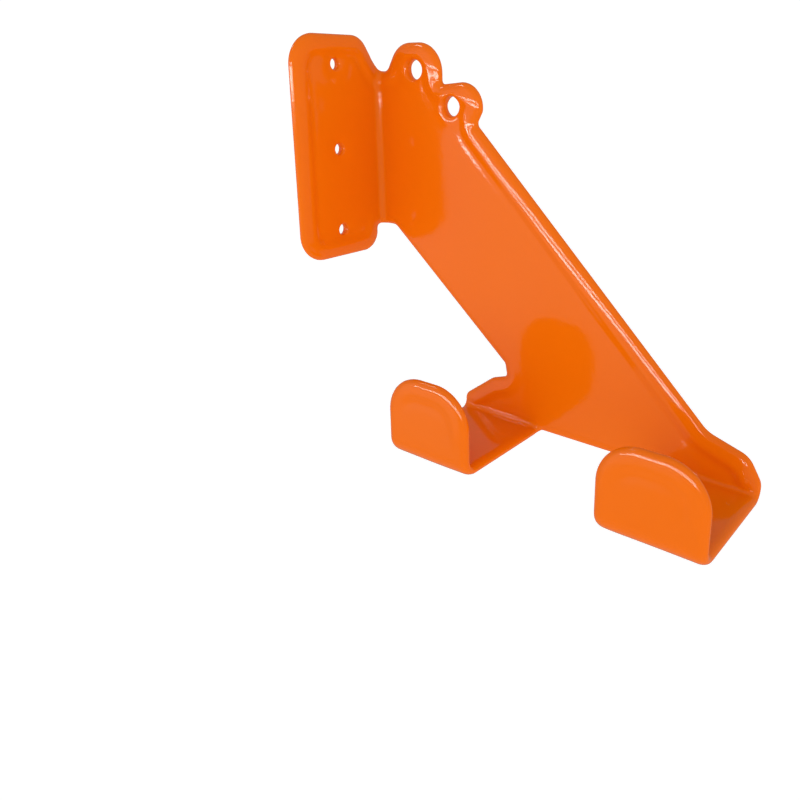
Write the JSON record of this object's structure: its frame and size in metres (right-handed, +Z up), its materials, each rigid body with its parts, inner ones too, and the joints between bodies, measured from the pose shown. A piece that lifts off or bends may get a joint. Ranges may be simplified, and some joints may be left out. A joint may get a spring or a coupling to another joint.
{
  "type": "wall hanger bracket",
  "caption": "Wall-mounted folded steel bracket with a diagonal arm, two J hooks for a chainsaw handle and screwdriver eyelets, in a dipped orange plastic coating.",
  "frame": {"origin": "the middle screw hole's axis, on the face that lies on the wall", "axes": "+X to the right along the wall, +Y into the wall, +Z up; the arm projects towards -Y and the hooks open upwards"},
  "size_m": [0.0635, 0.2185, 0.194],
  "materials": {
    "steel": "bare cold-rolled steel, sealed under the coating",
    "coating": "glossy soft dipped plastic, thick, with fully rounded edges"
  },
  "bodies": {
    "root": {"steel_blank": "steel", "dip_coating": "coating"}
  },
  "joints": []
}
